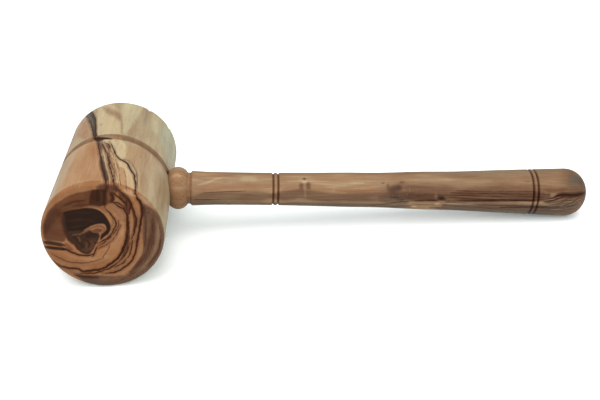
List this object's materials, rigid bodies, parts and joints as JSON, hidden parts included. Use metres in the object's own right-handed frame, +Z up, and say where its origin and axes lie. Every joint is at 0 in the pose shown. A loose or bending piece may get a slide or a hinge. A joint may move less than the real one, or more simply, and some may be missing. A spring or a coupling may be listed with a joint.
{
  "type": "meat tenderizer",
  "caption": "Turned wooden mallet for tenderizing meat: a cylindrical head with a smooth and a grooved face, on a round handle.",
  "frame": {"origin": "on the table, under the middle of the whole tenderizer, which lies on the head's side and the handle's end", "axes": "+X from the head towards the handle's end, +Y from the smooth face towards the grooved face, +Z up"},
  "size_m": [0.3292, 0.113, 0.0686],
  "materials": {
    "head_wood": "oiled olive wood, satin, strong dark figure",
    "handle_wood": "oiled olive wood, satin, lengthwise grain"
  },
  "bodies": {
    "root": {"head": "head_wood", "handle": "handle_wood"}
  },
  "joints": []
}
